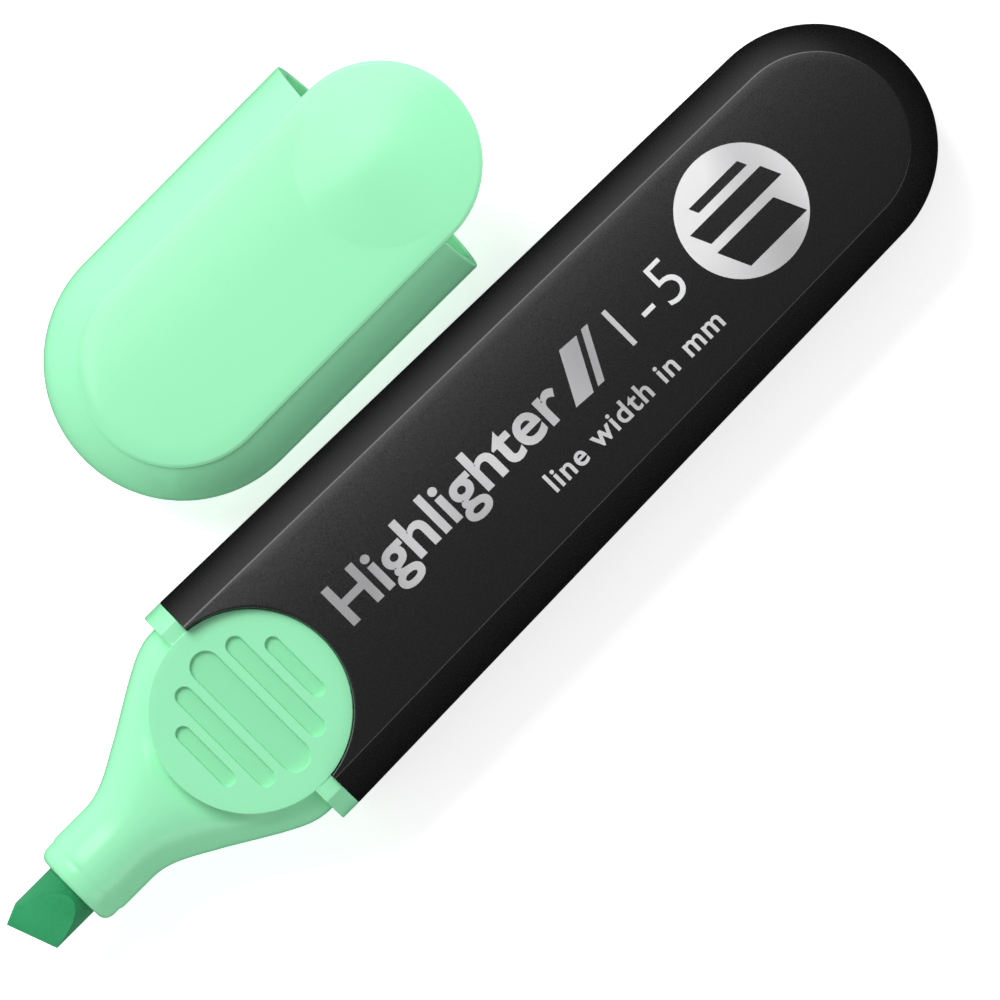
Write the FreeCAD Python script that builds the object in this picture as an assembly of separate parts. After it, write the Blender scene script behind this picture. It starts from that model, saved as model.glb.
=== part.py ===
import FreeCAD, Part
import os
import math

os.makedirs("parts", exist_ok=True)
V = FreeCAD.Vector

# Wide flat highlighter pen with its cap off, lying beside it.
# Frame: millimetres. The pen lies on the flat panel of its barrel, its axis along X, nib towards -X.
# Origin: on the table, under the pen's axis, midway between the nib's tip and the barrel's rear end.
# The pieces of the pen are drawn about the mid-plane z = 0 and lifted by HALF_T at the end.

# ---------------------------------------------------------------- driving dimensions
HALF_T = 8.30            # half thickness of the pen, panel to mid-plane
SIDE_R = 12.70           # radius of the curved side in cross-section

# barrel
BAR_FRONT_X = -26.03
BAR_FRONT_W = 12.82      # half width at the mid-plane, front edge
BAR_REAR_CX = 45.36      # centre of the rounded rear end
BAR_REAR_R = 11.23
BAR_INSET_F = 3.09       # how far the panel's edge lies inside the side, front
BAR_INSET_R = 2.78       # same at the rear end
BAR_INSET_CX = 0.29
BAR_WALL = 1.50
PANEL_ROUND = 0.35       # small rounding of the panel's ridge

# round notch in both faces of the barrel, and the coin pad that fills it
NOTCH_X = -27.14
NOTCH_R = 9.43
PAD_R = 9.20
PAD_Z = 6.95             # pad's surface above the mid-plane, at the collar's front face
PAD_SLOPE = 0.06         # pad's surface falls towards the nib

# front section
COLLAR_X0 = -28.05
COLLAR_X1 = -26.03
PLUG_END_X = -12.0
PLUG_GAP = 0.05
PLUG_WALL = 1.20
NIB_R = 2.80
NIB_BORE_R = 2.84
SEAT_R = 5.45            # seat of the ink reservoir

# nib
NIB_REAR_X = -22.1
NIB_EDGE_T = 0.42        # half thickness of the writing edge
NIB_EDGE_K = 0.50        # slope of the two flats

# reservoir
CORE_R = 5.20
CORE_X0 = -29.2
CORE_X1 = 45.8
WRAP_R0 = 5.22
WRAP_R1 = 5.34

# cap, drawn where it sits when it is on the pen
RIM_X = -28.07
CAP_LEN = 37.85
CAP_W = 12.82
CAP_END_R = 12.68
CAP_ALPHA = 4.0          # degrees: each face falls by this towards the closed end
CAP_STEP = 0.35          # the raised panel stands this far above the sides
CAP_WALL = 1.15          # side walls
CAP_PANEL_WALL = 1.20    # faces
PANEL_W = 9.29
PANEL_END_X = -62.72
TONGUE_CX = -27.15
TONGUE_R = 9.28
DOME_X = TONGUE_CX                 # thumb dome on the tongue: centre, radius and height
DOME_R = 7.05
DOME_H = 0.28
# where the loose cap lies
CAP_REST_RIM_X = 16.06
CAP_REST_Y = 26.86

# sealing cup inside the cap
CUP_BORE_R = 4.46
CUP_NIB_R = 3.50
CUP_R0 = 5.20
CUP_R1 = 4.60
CUP_SOCKET_R = 4.62
CUP_MOUTH_X = -44.6
CUP_END_X = -61.5


# ---------------------------------------------------------------- helpers
def line(a, b):
    return Part.makeLine(a, b)


def spline(points, t0=None, t1=None):
    c = Part.BSplineCurve()
    if t0 is not None:
        c.interpolate(Points=points, InitialTangent=t0, FinalTangent=t1)
    else:
        c.interpolate(Points=points)
    return c.toShape()


def taper_angle(dx, w, r):
    # half angle of two straight sides that start at half width w and meet a circle r,
    # whose centre is dx further on
    a = -dx
    big = math.hypot(a, w)
    phi = math.atan2(w, a)
    return math.pi - math.asin(r / big) - phi


def u_wire(x0, w0, cx, r, height, sign=1.0, n_arc=13):
    # outline open at x0 (straight edge), round at the far end; sign +1: the round end is towards +X.
    # height(x) gives z, linear in x.
    dx = abs(cx - x0)
    b = taper_angle(dx, w0, r)

    def pt(x, y):
        return V(x, y, height(x))

    a0 = math.pi / 2 - b
    arc = []
    for i in range(n_arc):
        a = a0 - 2 * a0 * i / (n_arc - 1)
        arc.append(pt(cx + sign * r * math.cos(a), r * math.sin(a)))
    p0 = pt(x0, w0)
    p1 = pt(x0, -w0)
    # tangents of the arc at both ends, along the straight sides
    t0 = arc[0].sub(p0)
    t1 = p1.sub(arc[-1])
    t0.normalize()
    t1.normalize()
    scale = 2 * a0 * r
    e_arc = spline(arc, t0.multiply(scale), t1.multiply(scale))
    return Part.Wire([line(p0, arc[0]), e_arc, line(arc[-1], p1), line(p1, p0)])


def one_solid(shape, name):
    if shape.ShapeType != "Solid":
        sols = shape.Solids
        if len(sols) != 1:
            sols = sorted(sols, key=lambda s: -s.Volume)
            print(name, "has", len(sols), "solids", [round(s.Volume, 3) for s in sols])
        shape = sols[0]
    return shape


def tidy(shape):
    # merge faces that lie on one surface, where that works
    try:
        t = shape.removeSplitter()
        if t.isValid() and len(t.Solids) == len(shape.Solids):
            return t
    except Exception:
        pass
    return shape


def box(x0, x1, y0, y1, z0, z1):
    return Part.makeBox(x1 - x0, y1 - y0, z1 - z0, V(x0, y0, z0))


def cyl_x(r, x0, x1):
    return Part.makeCylinder(r, x1 - x0, V(x0, 0, 0), V(1, 0, 0))


def revolve_x(profile):
    # profile: closed list of (x, r)
    pts = [V(x, 0, r) for x, r in profile]
    f = Part.Face(Part.makePolygon(pts + [pts[0]]))
    return f.revolve(V(0, 0, 0), V(1, 0, 0), 360)


def slab_xz(points, half_y=30.0):
    pts = [V(x, -half_y, z) for x, z in points]
    f = Part.Face(Part.makePolygon(pts + [pts[0]]))
    return f.extrude(V(0, 2 * half_y, 0))


def side_drop(z, radius=SIDE_R):
    return radius - math.sqrt(radius * radius - z * z)


# ---------------------------------------------------------------- barrel
FULL_DROP = side_drop(HALF_T)


def barrel_wire(z, inset=0.0, x0=BAR_FRONT_X):
    # outline of the barrel at height z, moved inwards by a wall
    radius = SIDE_R - inset
    g = side_drop(z, radius) / FULL_DROP
    w = BAR_FRONT_W - inset - BAR_INSET_F * g
    r = BAR_REAR_R - inset - BAR_INSET_R * g
    cx = BAR_REAR_CX + BAR_INSET_CX * g
    # the front edge may lie ahead of BAR_FRONT_X: widen along the taper
    b = taper_angle(cx - BAR_FRONT_X, w, r)
    w0 = w + (BAR_FRONT_X - x0) * math.tan(b)
    return u_wire(x0, w0, cx, r, lambda x: z)


def barrel_form(inset, x0, half_t):
    qs = [-1.0, -0.93, -0.8, -0.6, -0.35, 0.0, 0.35, 0.6, 0.8, 0.93, 1.0]
    wires = [barrel_wire(q * half_t, inset, x0) for q in qs]
    return Part.makeLoft(wires, True, False)


outer = barrel_form(0.0, BAR_FRONT_X, HALF_T)
edges = []
for e in outer.Edges:
    bb = e.BoundBox
    if abs(abs(bb.ZMin) - HALF_T) < 1e-3 and abs(abs(bb.ZMax) - HALF_T) < 1e-3 and bb.XLength > 0.5:
        edges.append(e)
try:
    rounded = outer.makeFillet(PANEL_ROUND, edges)
    if rounded.isValid() and abs(rounded.Volume - outer.Volume) < 0.02 * outer.Volume:
        outer = rounded
    else:
        print("barrel: ridge left sharp")
except Exception as err:
    print("barrel: ridge left sharp:", err)

cavity = barrel_form(BAR_WALL, BAR_FRONT_X - 1.0, HALF_T - BAR_WALL)
barrel = outer.cut(cavity)
for s in (1, -1):
    z0 = 5.0 if s > 0 else -12.0
    barrel = barrel.cut(Part.makeCylinder(NOTCH_R, 7.0, V(NOTCH_X, 0, z0)))
# four ribs that cradle the reservoir, and a stop behind it
in_t = HALF_T - BAR_WALL
ribs = []
for sy in (1, -1):
    for sz in (1, -1):
        y0, y1 = sorted((sy * 3.6, sy * 4.5))
        z0, z1 = sorted((sz * 4.05, sz * (in_t + 0.5)))
        ribs.append(box(-8.0, 50.0, y0, y1, z0, z1))
for sz in (1, -1):
    z0, z1 = sorted((sz * 2.0, sz * (in_t + 0.5)))
    ribs.append(box(46.3, 47.5, -4.5, 4.5, z0, z1))
barrel = tidy(barrel.fuse(ribs))
barrel = one_solid(barrel, "barrel")

# ---------------------------------------------------------------- front section
# half width (b), half thickness (c) and fullness (p) of the shoulder along X
SHOULDER = [
    (-50.06, 4.30, 4.30, 2.0), (-49.2, 4.30, 4.30, 2.0), (-48.3, 4.32, 4.32, 2.0), (-47.4, 4.38, 4.38, 2.0),
    (-46.5, 4.40, 4.40, 2.0), (-45.6, 4.40, 4.40, 2.0), (-44.7, 4.40, 4.40, 2.0), (-43.9, 4.40, 4.40, 2.0), (-43.0, 4.48, 4.43, 2.0), (-42.1, 4.77, 4.52, 2.02),
    (-41.2, 5.18, 4.64, 2.06), (-40.3, 5.58, 4.78, 2.1), (-39.4, 6.07, 4.92, 2.15), (-38.5, 6.59, 5.06, 2.2),
    (-37.5, 7.15, 5.21, 2.27), (-36.6, 7.70, 5.34, 2.33), (-35.7, 8.22, 5.47, 2.4), (-34.8, 8.76, 5.60, 2.45),
    (-33.9, 9.31, 5.72, 2.5), (-33.0, 9.81, 5.84, 2.55), (-32.1, 10.34, 5.95, 2.6), (-31.2, 10.75, 6.05, 2.65),
    (-30.3, 11.13, 6.15, 2.7), (-29.4, 11.38, 6.22, 2.7), (-28.5, 11.45, 6.26, 2.7), (-27.0, 11.45, 6.28, 2.7)]


def super_ring(x, b, c, p, n=8):
    # closed superellipse across X, one edge for each quadrant
    edges_ = []
    for k in range(4):
        a0 = math.pi / 2 * k
        pts = []
        for i in range(n + 1):
            a = a0 + math.pi / 2 * i / n
            ca, sa = math.cos(a), math.sin(a)
            if i == 0:
                ca, sa = round(ca), round(sa)
            if i == n:
                ca, sa = round(ca), round(sa)
            f = (abs(ca) ** p + abs(sa) ** p) ** (-1.0 / p)
            pts.append(V(x, b * f * ca, c * f * sa))
        length = sum(pts[i].distanceToPoint(pts[i + 1]) for i in range(n))
        t0 = V(0, -round(math.sin(a0)), round(math.cos(a0)))
        a1 = a0 + math.pi / 2
        t1 = V(0, -round(math.sin(a1)), round(math.cos(a1)))
        edges_.append(spline(pts, t0.multiply(length), t1.multiply(length)))
    return Part.Wire(edges_)


shoulder = Part.makeLoft([super_ring(*s) for s in SHOULDER], True, False)
# rounded rim of the nozzle
shoulder = shoulder.cut(revolve_x([
    (-50.5, 3.40), (-50.06, 3.40), (-49.99, 3.62), (-49.85, 3.85), (-49.64, 4.06), (-49.36, 4.22), (-49.0, 4.33),
    (-49.0, 5.0), (-50.5, 5.0)]))

# collar: same cross-section as the barrel's front edge, its faces level with the pads
cen = BAR_FRONT_W - SIDE_R
yc = cen + math.sqrt(SIDE_R ** 2 - PAD_Z ** 2)
c_edges = [
    line(V(COLLAR_X0, -yc, PAD_Z), V(COLLAR_X0, yc, PAD_Z)),
    Part.Arc(V(COLLAR_X0, yc, PAD_Z), V(COLLAR_X0, BAR_FRONT_W, 0), V(COLLAR_X0, yc, -PAD_Z)).toShape(),
    line(V(COLLAR_X0, yc, -PAD_Z), V(COLLAR_X0, -yc, -PAD_Z)),
    Part.Arc(V(COLLAR_X0, -yc, -PAD_Z), V(COLLAR_X0, -BAR_FRONT_W, 0), V(COLLAR_X0, -yc, PAD_Z)).toShape()]
collar = Part.Face(Part.Wire(c_edges)).extrude(V(COLLAR_X1 - COLLAR_X0, 0, 0))


def pad_z(x):
    return PAD_Z + PAD_SLOPE * (x - COLLAR_X0)


pads = Part.makeCylinder(PAD_R, 20.0, V(NOTCH_X, 0, -10.0)).common(slab_xz([
    (-40, pad_z(-40)), (-10, pad_z(-10)), (-10, -pad_z(-10)), (-40, -pad_z(-40))]))

plug = barrel_form(BAR_WALL + PLUG_GAP, COLLAR_X1 - 0.6, HALF_T - BAR_WALL - PLUG_GAP)
plug = plug.common(box(COLLAR_X1 - 0.6, PLUG_END_X, -20, 20, -20, 20))
hollow = barrel_form(BAR_WALL + PLUG_GAP + PLUG_WALL, COLLAR_X1 + 0.8, HALF_T - BAR_WALL - PLUG_GAP - PLUG_WALL)

front = shoulder.fuse([collar, pads, plug])
front = front.cut(hollow)
front = front.cut(revolve_x([
    (-52.0, 0.0), (-52.0, NIB_BORE_R), (-42.0, NIB_BORE_R), (-34.5, 4.30), (-30.6, 4.60), (-29.5, SEAT_R),
    (-20.0, SEAT_R), (-20.0, 0.0)]))
front = one_solid(tidy(front), "front_section")

# ---------------------------------------------------------------- nib
nib = revolve_x([(-60.0, 0.0), (-60.0, NIB_R), (NIB_REAR_X - 1.2, NIB_R), (NIB_REAR_X, 1.6), (NIB_REAR_X, 0.0)])
# the writing edge runs aslant from the long point to the short point
short_pt = (-54.85, -2.72)
long_pt = (-56.56, 2.00)
corner = (-55.04, 2.80)
ex, ey = long_pt[0] - short_pt[0], long_pt[1] - short_pt[1]
el = math.hypot(ex, ey)
ex, ey = ex / el, ey / el            # along the edge
nx, ny = ey, -ex                     # inwards, away from the edge
if nx < 0:
    nx, ny = -nx, -ny
# plan outline that is kept
keep = Part.Face(Part.makePolygon([
    V(short_pt[0] - 0.5 * ex, short_pt[1] - 0.5 * ey, -5), V(long_pt[0], long_pt[1], -5),
    V(corner[0] + 0.0, corner[1], -5), V(corner[0], 5, -5), V(-10, 5, -5), V(-10, -5, -5),
    V(short_pt[0] - 0.5 * ex, -5, -5), V(short_pt[0] - 0.5 * ex, short_pt[1] - 0.5 * ey, -5)]))
nib = nib.common(keep.extrude(V(0, 0, 10)))
# the two flats
for s in (1, -1):
    d0, d1 = -3.0, 9.0
    quad = []
    for d, t in ((d0, -20.0), (d1, -20.0), (d1, 20.0), (d0, 20.0)):
        quad.append(V(short_pt[0] + nx * d + ex * t, short_pt[1] + ny * d + ey * t,
                      s * (NIB_EDGE_T + NIB_EDGE_K * d)))
    top = [V(p.x, p.y, s * 12.0) for p in quad]
    faces = [Part.Face(Part.makePolygon(quad + [quad[0]])), Part.Face(Part.makePolygon(top + [top[0]]))]
    for i in range(4):
        j = (i + 1) % 4
        faces.append(Part.Face(Part.makePolygon([quad[i], quad[j], top[j], top[i], quad[i]])))
    cutter = Part.makeSolid(Part.makeShell(faces))
    if cutter.Volume < 0:
        cutter.reverse()
    nib = nib.cut(cutter)
nib = one_solid(nib, "nib")

# ---------------------------------------------------------------- reservoir
core = cyl_x(CORE_R, CORE_X0, CORE_X1).cut(revolve_x([
    (CORE_X0 - 1, 0.0), (CORE_X0 - 1, NIB_R + 0.02), (NIB_REAR_X - 1.15, NIB_R + 0.02), (NIB_REAR_X + 0.03, 1.65),
    (NIB_REAR_X + 0.03, 0.0)]))
wrap = cyl_x(WRAP_R1, CORE_X0 + 0.3, CORE_X1 - 0.2).cut(cyl_x(WRAP_R0, CORE_X0 - 1, CORE_X1 + 1))
core = one_solid(core, "reservoir_core")
wrap = one_solid(wrap, "reservoir_wrap")

# ---------------------------------------------------------------- cap
TAN = math.tan(math.radians(CAP_ALPHA))
CAP_END_X = RIM_X - CAP_LEN


def cap_h(x):
    return HALF_T + (x - RIM_X) * TAN


def cap_form(w0, end_x, r, top, inset_side, inset_end, x0):
    # lofted between outlines that lie in planes fanned between the two faces
    qs = [-1.0, -0.93, -0.8, -0.6, -0.35, 0.0, 0.35, 0.6, 0.8, 0.93, 1.0]
    wires = []
    for q in qs:
        g = side_drop(q * HALF_T) / FULL_DROP
        rr = r - inset_side * g
        cx = end_x + inset_end * g + rr
        wires.append(u_wire(x0, w0 - inset_side * g, cx, rr, lambda x, q=q: q * top(x), sign=-1.0))
    return Part.makeLoft(wires, True, False)


cap_out = cap_form(CAP_W, CAP_END_X, CAP_END_R, lambda x: cap_h(x) - CAP_STEP, 3.60, 3.36, RIM_X)
cap_in = cap_form(CAP_W - CAP_WALL, CAP_END_X + CAP_WALL + 0.1, CAP_END_R - CAP_WALL - 0.1,
                  lambda x: cap_h(x) - CAP_PANEL_WALL, 2.42, 2.6, RIM_X + 0.4)

# raised panels; the upper one runs on past the rim as the tongue, with a low thumb dome on it
p_cx = PANEL_END_X + 9.27
b1 = math.asin((PANEL_W - 9.27) / abs(RIM_X - p_cx)) if PANEL_W > 9.27 else 0.0
outline = Part.Wire([
    Part.Arc(V(p_cx, 9.27, 0), V(p_cx - 9.27, 0, 0), V(p_cx, -9.27, 0)).toShape(),
    line(V(p_cx, -9.27, 0), V(TONGUE_CX, -TONGUE_R, 0)),
    Part.Arc(V(TONGUE_CX, -TONGUE_R, 0), V(TONGUE_CX + TONGUE_R, 0, 0), V(TONGUE_CX, TONGUE_R, 0)).toShape(),
    line(V(TONGUE_CX, TONGUE_R, 0), V(p_cx, 9.27, 0))])
panels = []
for s in (1, -1):
    prism = Part.Face(outline).extrude(V(0, 0, s * 14.0))
    if s > 0:
        prof = slab_xz([(-70.0, cap_h(-70.0)), (RIM_X, HALF_T), (-10.0, HALF_T),
                        (-10.0, 7.16 + PAD_SLOPE * (-10.0 - RIM_X)), (RIM_X, 7.16), (RIM_X, 4.6), (-70.0, 2.4)])
        p = prism.common(prof)
        rho = (DOME_R ** 2 + DOME_H ** 2) / (2 * DOME_H)
        disc = Part.makeCylinder(DOME_R, 1.2, V(DOME_X, 0, HALF_T - 0.6))
        p = p.fuse(disc.common(Part.makeSphere(rho, V(DOME_X, 0, HALF_T + DOME_H - rho))))
    else:
        p = prism.common(slab_xz([(-70.0, -cap_h(-70.0)), (RIM_X, -HALF_T), (RIM_X, -4.6), (-70.0, -2.4)]))
    panels.append(p)

cap_full = cap_out.fuse(panels)
boss = cyl_x(5.70, CAP_END_X + 0.6, -57.5).common(cap_out)
cap = cap_full.cut(cap_in).fuse(boss)
cap = cap.cut(cyl_x(CUP_SOCKET_R, -63.2, -56.0))
cap = one_solid(tidy(cap), "cap_shell")

cup = revolve_x([
    (CUP_MOUTH_X, CUP_R0 - 0.25), (CUP_MOUTH_X, 4.85), (CUP_MOUTH_X - 0.8, CUP_BORE_R), (-51.0, CUP_BORE_R),
    (-51.9, CUP_NIB_R), (CUP_END_X + 1.0, CUP_NIB_R), (CUP_END_X + 1.0, 0.0), (CUP_END_X, 0.0),
    (CUP_END_X, CUP_R1 - 0.3), (CUP_END_X + 0.3, CUP_R1), (-53.2, CUP_R1), (-52.2, CUP_R0),
    (CUP_MOUTH_X - 0.3, CUP_R0)])
cup = one_solid(cup, "cap_inner_sleeve")


def lay_cap(shape):
    # from its place on the pen to its place on the table: the lower face flat on the table
    s = shape.copy()
    s.rotate(V(RIM_X, 0, 0), V(0, 1, 0), -CAP_ALPHA)
    s.translate(V(CAP_REST_RIM_X - RIM_X, CAP_REST_Y, HALF_T * math.cos(math.radians(CAP_ALPHA))))
    return s


def lift(shape):
    s = shape.copy()
    s.translate(V(0, 0, HALF_T))
    return s


nodes = {
    "barrel": lift(barrel),
    "front_section": lift(front),
    "nib": lift(nib),
    "reservoir_core": lift(core),
    "reservoir_wrap": lift(wrap),
    "cap_shell": lay_cap(cap),
    "cap_inner_sleeve": lay_cap(cup),
}
for name, shape in nodes.items():
    shape.exportStep("parts/%s.step" % name)
    bb = shape.BoundBox
    print("%-17s valid %s closed %s vol %9.1f  x %.2f %.2f  y %.2f %.2f  z %.3f %.3f  faces %d" % (
        name, shape.isValid(), shape.isClosed(), shape.Volume, bb.XMin, bb.XMax, bb.YMin, bb.YMax, bb.ZMin, bb.ZMax,
        len(shape.Faces)))
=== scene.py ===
import bpy
import bmesh
import math
import numpy as np
from mathutils import Vector, Matrix


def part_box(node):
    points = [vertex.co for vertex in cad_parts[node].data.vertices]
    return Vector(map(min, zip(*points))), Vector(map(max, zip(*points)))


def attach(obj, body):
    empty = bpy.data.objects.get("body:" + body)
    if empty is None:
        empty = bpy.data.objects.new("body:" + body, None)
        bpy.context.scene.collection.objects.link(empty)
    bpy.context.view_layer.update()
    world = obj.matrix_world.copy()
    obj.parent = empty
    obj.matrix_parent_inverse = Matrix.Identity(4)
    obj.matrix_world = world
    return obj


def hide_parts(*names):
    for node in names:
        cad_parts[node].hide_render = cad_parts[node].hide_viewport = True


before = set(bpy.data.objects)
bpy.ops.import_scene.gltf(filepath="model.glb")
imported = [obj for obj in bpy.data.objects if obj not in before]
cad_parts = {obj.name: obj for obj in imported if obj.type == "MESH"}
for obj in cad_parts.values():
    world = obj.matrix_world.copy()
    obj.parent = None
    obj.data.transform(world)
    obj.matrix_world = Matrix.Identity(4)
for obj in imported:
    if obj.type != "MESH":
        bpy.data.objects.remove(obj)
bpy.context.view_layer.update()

MM = 0.001
scene = bpy.context.scene

# ------------------------------------------------------------------ anchors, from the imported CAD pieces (mm)
bar_lo, bar_hi = [v * 1000 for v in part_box("barrel")]
fro_lo, fro_hi = [v * 1000 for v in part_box("front_section")]
nib_lo, nib_hi = [v * 1000 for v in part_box("nib")]
cap_lo, cap_hi = [v * 1000 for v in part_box("cap_shell")]

H = (bar_hi.z - bar_lo.z) / 2          # half thickness; the pen's mid-plane is at this height
XF = bar_lo.x                          # barrel's front face
XR = bar_hi.x                          # barrel's rear end
WF = bar_hi.y                          # half width of the side at the front
SIDE_R = 12.70
FULL = SIDE_R - math.sqrt(SIDE_R ** 2 - H ** 2)
R_R = 11.23
CX_R = XR - R_R
IN_F, IN_R, IN_CX = 3.09, 2.78, 0.29
WALL = 1.50
NX, NR = XF - 1.11, 9.43               # notch: centre and radius
PAD_R, PAD_Z, PAD_SLOPE = 9.20, 6.95, 0.06
COL0, COL1 = XF - 2.02, XF             # collar
NOZ = fro_lo.x                         # nozzle's front face


# ------------------------------------------------------------------ mesh helpers
class Build:
    """Collects vertices (mm, mid-plane at z = 0) and faces, welds them into one mesh."""

    def __init__(self):
        self.v = []
        self.f = []

    def grid(self, pts, flip=False, close=False):
        # pts: rows x columns x 3
        pts = np.asarray(pts, float)
        n, m = pts.shape[:2]
        base = len(self.v)
        self.v.extend(map(tuple, pts.reshape(-1, 3)))
        for i in range(n - 1):
            for j in range(m if close else m - 1):
                j2 = (j + 1) % m
                q = (base + i * m + j, base + i * m + j2, base + (i + 1) * m + j2, base + (i + 1) * m + j)
                self.f.append(q[::-1] if flip else q)

    def poly(self, pts):
        base = len(self.v)
        self.v.extend(tuple(map(float, p)) for p in pts)
        self.f.append(tuple(range(base, base + len(pts))))

    def mirror(self, axis):
        n = len(self.v)
        s = [1, 1, 1]
        s[axis] = -1
        self.v.extend([(a * s[0], b * s[1], c * s[2]) for a, b, c in self.v[:n]])
        self.f.extend([tuple(n + i for i in f[::-1]) for f in self.f[:len(self.f)]])

    def mesh(self, name, place=None, sharp=32.0, weld=2e-4):
        me = bpy.data.meshes.new(name)
        me.from_pydata(self.v, [], self.f)
        bm = bmesh.new()
        bm.from_mesh(me)
        bmesh.ops.remove_doubles(bm, verts=bm.verts, dist=weld)
        bmesh.ops.dissolve_degenerate(bm, dist=1e-5, edges=bm.edges)
        loose = [v for v in bm.verts if not v.link_faces]
        bmesh.ops.delete(bm, geom=loose, context="VERTS")
        bmesh.ops.recalc_face_normals(bm, faces=bm.faces)
        if place is not None:
            bm.transform(place)
        bm.transform(Matrix.Scale(MM, 4))
        finish_bm(bm, me, sharp)
        return me


def finish_bm(bm, me, sharp):
    lim = math.radians(sharp)
    for f in bm.faces:
        f.smooth = True
    for e in bm.edges:
        if len(e.link_faces) == 2:
            e.smooth = e.calc_face_angle(0.0) < lim
        else:
            e.smooth = False
    bm.to_mesh(me)
    bm.free()
    me.update()


def add(name, me, body, mat):
    ob = bpy.data.objects.new(name, me)
    scene.collection.objects.link(ob)
    me.materials.clear()
    me.materials.append(mat)
    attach(ob, body)
    return ob


LIFT = Matrix.Translation((0, 0, H))


def taper(dx, w, r):
    a = -dx
    big = math.hypot(a, w)
    return math.pi - math.asin(max(-1, min(1, r / big))) - math.atan2(w, a)


def side_g(z, radius=SIDE_R):
    return (radius - math.sqrt(radius * radius - z * z)) / FULL


# ------------------------------------------------------------------ barrel
def bar_pt(col, g, inset=0.0):
    # col 0..1 along the straight side, 1..2 round the rear end to its apex
    w = WF - inset - IN_F * g
    r = R_R - inset - IN_R * g
    cx = CX_R + IN_CX * g
    b = taper(cx - XF, w, r)
    xt, yt = cx + r * math.sin(b), r * math.cos(b)
    if col <= 1:
        return XF + (xt - XF) * col, w + (yt - w) * col
    a = (math.pi / 2 - b) * (2 - col)
    return cx + r * math.cos(a), r * math.sin(a)


def ridge_rows(h, inset_len, a=0.12, steps=5):
    # (g, z) from just inside the panel's edge round the ridge and down the side to the mid-plane
    s = h / math.sqrt(SIDE_R ** 2 - h ** 2)
    d = np.array([s, -1.0]) / math.hypot(s, 1.0)
    rows = []
    for k in range(steps + 1):
        t = k / steps
        p = (1 - t) ** 2 * np.array([-a, 0.0]) + t * t * a * d
        rows.append((1 - p[0] / inset_len, h + p[1]))
    z1 = rows[-1][1]
    n = 22
    for k in range(1, n + 1):
        z = z1 * math.cos(math.pi / 2 * k / n) if k < n else 0.0
        rows.append((side_g(z), z))
    return rows


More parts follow.
